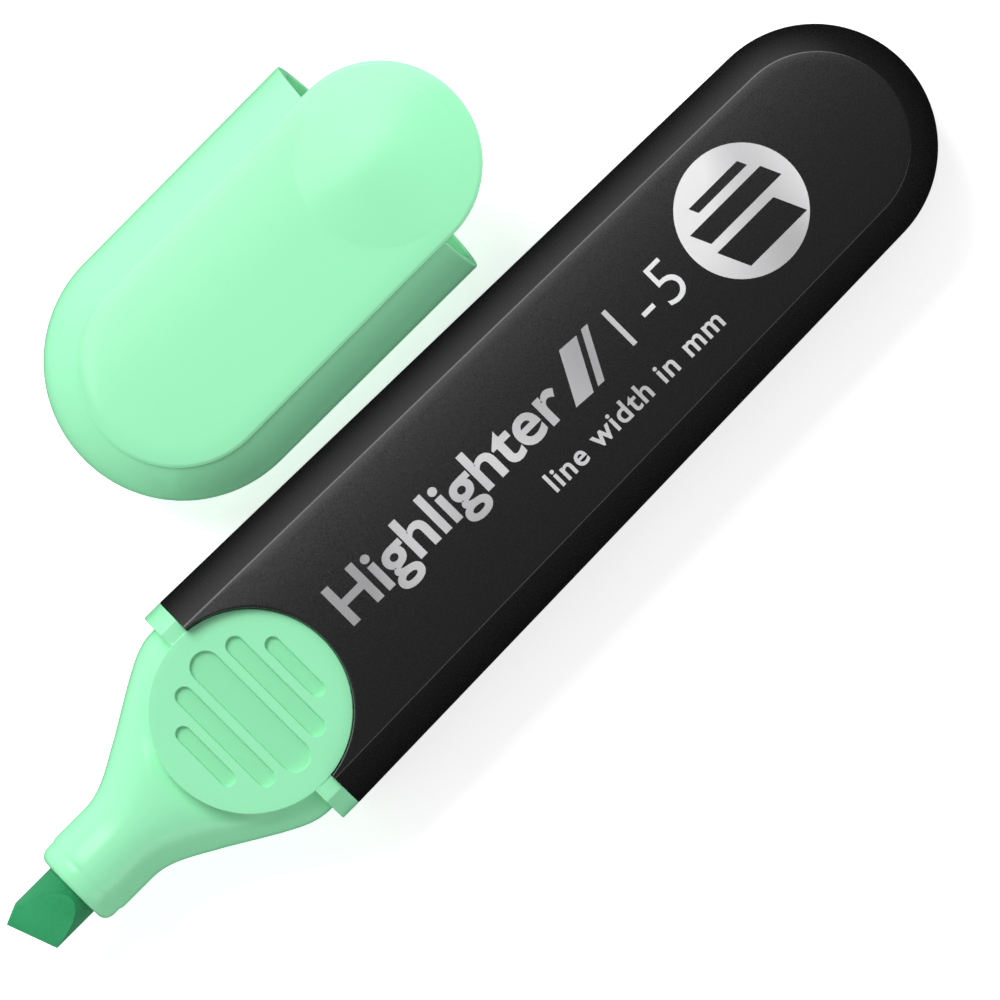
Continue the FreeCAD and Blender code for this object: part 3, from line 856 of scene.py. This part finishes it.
def felt():
    m, nt, b = mat("felt_nib")
    c = coords(nt)
    fibre = noise(nt, mapping(nt, c, (900.0, 9000.0, 9000.0)), 1.0, 4.0, 0.7)
    speck = noise(nt, c, 5200.0, 3.0, 0.6)
    slow = noise(nt, c, 300.0, 3.0)
    mixv = nt.nodes.new("ShaderNodeMath")
    mixv.operation = "MULTIPLY_ADD"
    mixv.inputs[1].default_value = 0.55
    nt.links.new(fibre, mixv.inputs[0])
    half = nt.nodes.new("ShaderNodeMath")
    half.operation = "MULTIPLY"
    half.inputs[1].default_value = 0.45
    nt.links.new(slow, half.inputs[0])
    nt.links.new(half.outputs[0], mixv.inputs[2])
    geo = nt.nodes.new("ShaderNodeNewGeometry")
    dirs = nt.nodes.new("ShaderNodeSeparateXYZ")
    nt.links.new(geo.outputs["Normal"], dirs.inputs[0])
    # felt faces whose normal does not point along -X (the round sides) get a darker green than the chisel's ground
    # flat: painted shade on the sides
    ground = mix_col(nt, ramp(nt, mixv.outputs[0], 0.35, 0.65, 0, 1), (0.024, 0.320, 0.118), (0.040, 0.405, 0.158))
    flank_painted_shade = mix_col(nt, ramp(nt, mixv.outputs[0], 0.35, 0.65, 0, 1), (0.013, 0.225, 0.080), (0.024, 0.290, 0.110))
    two = nt.nodes.new("ShaderNodeMix")
    two.data_type = "RGBA"
    nt.links.new(ramp(nt, dirs.outputs["X"], -0.36, -0.16, 0, 1), two.inputs[0])
    nt.links.new(ground, two.inputs[6])
    nt.links.new(flank_painted_shade, two.inputs[7])
    nt.links.new(two.outputs[2], b.inputs["Base Color"])
    nt.links.new(ramp(nt, speck, 0.3, 0.7, 0.58, 0.78), b.inputs["Roughness"])
    n1 = bump(nt, fibre, 0.35, 0.00006)
    n2 = bump(nt, speck, 0.25, 0.00004, n1)
    nt.links.new(n2, b.inputs["Normal"])
    b.inputs["Specular IOR Level"].default_value = 0.3
    b.inputs["Sheen Weight"].default_value = 0.05
    return m


M_FELT = felt()


def fibre_mat():
    m, nt, b = mat("ink_fibre")
    c = coords(nt)
    f = noise(nt, mapping(nt, c, (200.0, 5000.0, 5000.0)), 1.0, 4.0, 0.7)
    nt.links.new(mix_col(nt, f, (0.10, 0.60, 0.28), (0.25, 0.85, 0.48)), b.inputs["Base Color"])
    nt.links.new(ramp(nt, f, 0.3, 0.7, 0.7, 0.9), b.inputs["Roughness"])
    nt.links.new(bump(nt, f, 0.4, 0.0001), b.inputs["Normal"])
    return m


def film_mat():
    m, nt, b = mat("clear_film")
    c = coords(nt)
    f = noise(nt, mapping(nt, c, (300.0, 900.0, 900.0)), 1.0, 3.0)
    nt.links.new(mix_col(nt, f, (0.78, 0.86, 0.82), (0.88, 0.93, 0.90)), b.inputs["Base Color"])
    nt.links.new(ramp(nt, f, 0.3, 0.7, 0.12, 0.22), b.inputs["Roughness"])
    nt.links.new(bump(nt, f, 0.15, 0.0001), b.inputs["Normal"])
    b.inputs["Alpha"].default_value = 0.45
    return m


def foil():
    m, nt, b = mat("silver_foil")
    c = coords(nt)
    f = noise(nt, c, 6000.0, 3.0)
    # slow drift from dark grey to light silver in the foil's base colour: a painted reflection standing in for the
    # foil's sheen
    s = noise(nt, mapping(nt, c, (70.0, 40.0, 40.0)), 1.0, 1.0)
    nt.links.new(mix_col(nt, ramp(nt, s, 0.36, 0.66, 0, 1), (0.36, 0.36, 0.37), (0.86, 0.86, 0.87)), b.inputs["Base Color"])
    nt.links.new(ramp(nt, f, 0.3, 0.7, 0.36, 0.46), b.inputs["Roughness"])
    nt.links.new(bump(nt, f, 0.12, 0.00003), b.inputs["Normal"])
    b.inputs["Metallic"].default_value = 0.25
    return m


M_FOIL = foil()

for n, m in (("reservoir_core", fibre_mat()), ("reservoir_wrap", film_mat())):
    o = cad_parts[n]
    o.data.materials.clear()
    o.data.materials.append(m)

# ------------------------------------------------------------------ pieces
barrel = add("barrel_shell", build_barrel().mesh("barrel_shell", LIFT), "pen", M_BLACK)
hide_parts("barrel")


def open_edges(me):
    bm = bmesh.new()
    bm.from_mesh(me)
    n = sum(1 for e in bm.edges if len(e.link_faces) != 2)
    bm.free()
    return n


def solid(name, parts, cuts, place, sharp=32.0):
    """Union of closed parts, less the cuts, as one clean closed mesh."""
    objs = []
    for i, b in enumerate(parts + cuts):
        me = b.mesh("%s_%d" % (name, i), place, sharp)
        if open_edges(me):
            print("OPEN", name, i, open_edges(me))
        ob = bpy.data.objects.new(me.name, me)
        scene.collection.objects.link(ob)
        objs.append(ob)
    base = objs[0]
    for i, ob in enumerate(objs[1:], 1):
        md = base.modifiers.new("op%d" % i, "BOOLEAN")
        md.object = ob
        md.operation = "UNION" if i < len(parts) else "DIFFERENCE"
        md.solver = "MANIFOLD"
    dg = bpy.context.evaluated_depsgraph_get()
    me = bpy.data.meshes.new_from_object(base.evaluated_get(dg), depsgraph=dg)
    for ob in objs:
        old = ob.data
        bpy.data.objects.remove(ob)
        bpy.data.meshes.remove(old)
    bm = bmesh.new()
    bm.from_mesh(me)
    bmesh.ops.remove_doubles(bm, verts=bm.verts, dist=2e-7)
    bmesh.ops.dissolve_degenerate(bm, dist=1e-8, edges=bm.edges)
    finish_bm(bm, me, sharp)
    me.name = name
    print("SOLID", name, "verts", len(me.vertices), "open", open_edges(me))
    return me


def flip_z(b):
    b.v = [(x, y, -z) for x, y, z in b.v]
    return b


front = add("front_moulding", solid("front_moulding", [build_shoulder(), build_collar(), build_pad(), flip_z(build_pad()), build_plug()],
                                    [build_slot(*q) for q in SLOTS] + [flip_z(build_slot(*q)) for q in SLOTS], LIFT),
            "pen", M_MINT)
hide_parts("front_section")
# the slot floors take the darker mint: painted shade in the recesses
front.data.materials.append(M_RECESS_PAINTED_SHADE)
for p in front.data.polygons:
    c = p.center / MM
    for sgn in (1, -1):
        if abs(sgn * (c.z - H) - (pad_z(c.x) - SLOT_D)) < 0.05 and sgn * p.normal.z > 0.8 and math.hypot(c.x - NX, c.y) < 8.2:
            p.material_index = 1

nib = add("chisel_nib", build_nib(), "pen", M_FELT)
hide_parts("nib")

cap = add("cap_moulding", solid("cap_moulding", [build_cap_body(), build_plate(), flip_z(build_plate(False)), build_socket()], [], LAY),
          "cap", M_MINT)
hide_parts("cap_shell")
cap.visible_glossy = False
cup = add("cap_seal_cup", build_cup().mesh("cap_seal_cup", LAY), "cap", M_LINER)
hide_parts("cap_inner_sleeve")


# ------------------------------------------------------------------ hot-foil print on the barrel's upper panel
def text_mesh(body, x0, x1, yc, height, weight, track=1.0):
    """Generic lettering, fitted between x0 and x1 (mm) at a given capital height, as a thin closed mesh."""
    cu = bpy.data.curves.new("t", "FONT")
    cu.body = body
    cu.size = 1.0
    cu.offset = weight
    cu.space_character = track
    cu.resolution_u = 6
    cu.fill_mode = "BOTH"
    cu.extrude = 0.002
    ob = bpy.data.objects.new("t", cu)
    scene.collection.objects.link(ob)
    dg = bpy.context.evaluated_depsgraph_get()
    me = bpy.data.meshes.new_from_object(ob.evaluated_get(dg), depsgraph=dg)
    bpy.data.objects.remove(ob)
    bpy.data.curves.remove(cu)
    co = np.array([v.co for v in me.vertices])
    lo, hi = co.min(0), co.max(0)
    cap_top = 0.73 + weight
    cap_bot = -weight
    sy = height / (cap_top - cap_bot)
    sx = (x1 - x0) / (hi[0] - lo[0])
    co2 = np.empty_like(co)
    co2[:, 0] = (co[:, 0] - lo[0]) * sx + x0
    co2[:, 1] = (co[:, 1] - (cap_top + cap_bot) / 2) * sy + yc
    co2[:, 2] = np.where(co[:, 2] > 0, 0.022, -0.02)
    print("TEXT", body, "x/y stretch", round(sx / sy, 3))
    me.vertices.foreach_set("co", co2.ravel())
    return me


def flat_mesh(loops):
    cu = bpy.data.curves.new("f", "CURVE")
    cu.dimensions = "2D"
    cu.fill_mode = "BOTH"
    cu.extrude = 0.002
    for lp in loops:
        sp = cu.splines.new("POLY")
        sp.points.add(len(lp) - 1)
        for p, (x, y) in zip(sp.points, lp):
            p.co = (x, y, 0, 1)
        sp.use_cyclic_u = True
    ob = bpy.data.objects.new("f", cu)
    scene.collection.objects.link(ob)
    dg = bpy.context.evaluated_depsgraph_get()
    me = bpy.data.meshes.new_from_object(ob.evaluated_get(dg), depsgraph=dg)
    bpy.data.objects.remove(ob)
    bpy.data.curves.remove(cu)
    co = np.array([v.co for v in me.vertices])
    co[:, 2] = np.where(co[:, 2] > 0, 0.022, -0.02)
    me.vertices.foreach_set("co", co.ravel())
    return me


def circle(x, y, r, n=96):
    return [(x + r * math.cos(2 * math.pi * k / n), y + r * math.sin(2 * math.pi * k / n)) for k in range(n)]


def stroke(x, y, length, wid, ang, slant=0.45):
    # straight marker stroke with slanted ends
    h, w = length / 2, wid / 2
    pts = [(-h + slant * w, -w), (h + slant * w, -w), (h - slant * w, w), (-h - slant * w, w)]
    c, s_ = math.cos(ang), math.sin(ang)
    return [(x + px * c - py * s_, y + px * s_ + py * c) for px, py in pts]


EX, EY, ER = 36.5, 0.6, 6.2
prints = [text_mesh("Highlighter", -15.0, 13.0, 1.1, 4.6, 0.020, 1.0),
          text_mesh("1-5", 20.9, 28.3, 1.1, 4.5, -0.010, 1.12),
          text_mesh("line width in mm", 6.6, 28.3, -4.6, 2.15, 0.018, 1.10),
          flat_mesh([stroke(15.6, 0.9, 5.4, 1.9, math.radians(62)), stroke(17.7, 0.9, 5.4, 0.7, math.radians(62))]),
          flat_mesh([circle(EX, EY, ER), stroke(EX, EY + 3.05, 6.2, 0.9, 0.0), stroke(EX, EY + 0.75, 9.0, 1.9, 0.0),
                     stroke(EX, EY - 2.65, 7.2, 3.0, 0.0)])]
bm = bmesh.new()
for me in prints:
    bm.from_mesh(me)
    bpy.data.meshes.remove(me)
bmesh.ops.remove_doubles(bm, verts=bm.verts, dist=1e-4)
bmesh.ops.dissolve_degenerate(bm, dist=1e-5, edges=bm.edges)
bm.transform(Matrix.Scale(MM, 4) @ Matrix.Translation((0, 0, 2 * H)))
pm = bpy.data.meshes.new("barrel_print")
finish_bm(bm, pm, 30)
print("PRINT open", open_edges(pm), "verts", len(pm.vertices))
label = add("barrel_print", pm, "pen", M_FOIL)

# ------------------------------------------------------------------ floor, light, camera
fl = bpy.data.meshes.new("floor")
fl.from_pydata([(-3, -3, 0), (3, -3, 0), (3, 3, 0), (-3, 3, 0)], [], [(0, 1, 2, 3)])
floor = bpy.data.objects.new("floor", fl)
scene.collection.objects.link(floor)
fm, fnt, fb = mat("pale_floor")
fb.inputs["Base Color"].default_value = (0.86, 0.86, 0.86, 1)
fb.inputs["Roughness"].default_value = 0.9
fb.inputs["Specular IOR Level"].default_value = 0.1
fb.inputs["Emission Color"].default_value = (1, 1, 1, 1)
fb.inputs["Emission Strength"].default_value = 0.62
fl.materials.append(fm)

world = bpy.data.worlds.new("studio")
scene.world = world
world.use_nodes = True
wt = world.node_tree
ambient = wt.nodes["Background"]
ambient.inputs["Color"].default_value = (1, 1, 1, 1)
ambient.inputs["Strength"].default_value = 0.47
# what gloss sees: a soft room, lighter on the window side
room = wt.nodes.new("ShaderNodeBackground")
room.inputs["Strength"].default_value = 1.0
tc = wt.nodes.new("ShaderNodeTexCoord")
sep = wt.nodes.new("ShaderNodeSeparateXYZ")
wt.links.new(tc.outputs["Generated"], sep.inputs[0])
low = ramp(wt, sep.outputs["Z"], -0.85, 0.05, 0.03, 1.0)
side = ramp(wt, sep.outputs["Y"], 0.45, 0.95, 0.05, 0.52)
both = wt.nodes.new("ShaderNodeMath")
both.operation = "MULTIPLY"
wt.links.new(low, both.inputs[0])
wt.links.new(side, both.inputs[1])
wt.links.new(both.outputs[0], room.inputs["Color"])
lp = wt.nodes.new("ShaderNodeLightPath")
mx_w = wt.nodes.new("ShaderNodeMixShader")
wt.links.new(lp.outputs["Is Glossy Ray"], mx_w.inputs[0])
wt.links.new(ambient.outputs[0], mx_w.inputs[1])
wt.links.new(room.outputs[0], mx_w.inputs[2])
white = wt.nodes.new("ShaderNodeBackground")
white.inputs["Color"].default_value = (1, 1, 1, 1)
white.inputs["Strength"].default_value = 0.95
mx_c = wt.nodes.new("ShaderNodeMixShader")
wt.links.new(lp.outputs["Is Camera Ray"], mx_c.inputs[0])
wt.links.new(mx_w.outputs[0], mx_c.inputs[1])
wt.links.new(white.outputs[0], mx_c.inputs[2])
wt.links.new(mx_c.outputs[0], wt.nodes["World Output"].inputs["Surface"])
floor.visible_glossy = False
cup.visible_glossy = False


def area(name, loc, target, sx, sy, power, color=(1, 1, 1)):
    d = bpy.data.lights.new(name, "AREA")
    d.shape = "RECTANGLE"
    d.size, d.size_y = sx, sy
    d.energy = power
    d.color = color
    o = bpy.data.objects.new(name, d)
    o.visible_camera = False
    scene.collection.objects.link(o)
    o.location = loc
    z = (Vector(loc) - Vector(target)).normalized()
    x = Vector((1, 0, 0))
    y = z.cross(x).normalized()
    x = y.cross(z).normalized()
    o.matrix_world = Matrix.Translation(loc) @ Matrix((x, y, z)).transposed().to_4x4()
    return o


def only(light, objs):
    col = bpy.data.collections.new(light.name + "_on")
    for o in objs:
        col.objects.link(o)
    light.light_linking.receiver_collection = col


# broad key from the +Y side, 40 degrees off the vertical, for form
key = area("key", (0.01, 0.643, 0.766), (0.01, 0.0, 0.0), 0.60, 0.50, 8.2)
key.visible_glossy = False
# low softbox beside the pen, for the sheen that fades across the dark panel
sheen = area("sheen", (-0.005, 0.057, 0.060), (-0.005, 0.0570001, 0.0), 0.190, 0.086, 0.104)
sheen.visible_diffuse = False
only(sheen, [barrel, label])
# softbox that draws the highlights on the mint pieces
gloss = area("gloss", (0.0205, 0.0815, 0.080), (0.0205, 0.0815001, 0.0), 0.138, 0.099, 0.128)
gloss.visible_diffuse = False
only(gloss, [front, cap, cup, nib])
# thin rim light on the far side
rim = area("rim", (0.0, -0.10, 0.075), (0.0, 0.0, 0.008), 0.24, 0.05, 0.034)
rim.visible_diffuse = False
# low fill for the cap's side that faces the barrel
fill = area("fill", (0.0, -0.30, -0.22), (0.0, 0.02, 0.0), 0.40, 0.16, 0.95)
fill.visible_glossy = False
only(fill, [cap])
# weak grazing light along the cap, for the thumb dome
graze = area("graze", (0.46, 0.03, 0.12), (0.0, 0.027, 0.0), 0.16, 0.10, 0.95)
graze.visible_glossy = False
only(graze, [cap])
blk = bpy.data.collections.new("fill_shadow")
blk.objects.link(cap)
fill.light_linking.blocker_collection = blk
graze.light_linking.blocker_collection = blk

cam_d = bpy.data.cameras.new("camera")
cam = bpy.data.objects.new("camera", cam_d)
scene.collection.objects.link(cam)
scene.camera = cam
cam_d.sensor_width = 36
cam_d.lens = 1500
cx, cy = 0.0024545, -0.0024545
width = 1000 / 11.0 * MM
dist = cam_d.lens / 36 * width
cam_d.clip_start, cam_d.clip_end = 0.1, 500
q = math.sqrt(0.5)
right, up = Vector((q, -q, 0)), Vector((q, q, 0))
cam.matrix_world = Matrix.Translation((cx, cy, H * MM + dist)) @ Matrix((right, up, Vector((0, 0, 1)))).transposed().to_4x4()

scene.view_settings.view_transform = "Standard"
scene.view_settings.look = "None"
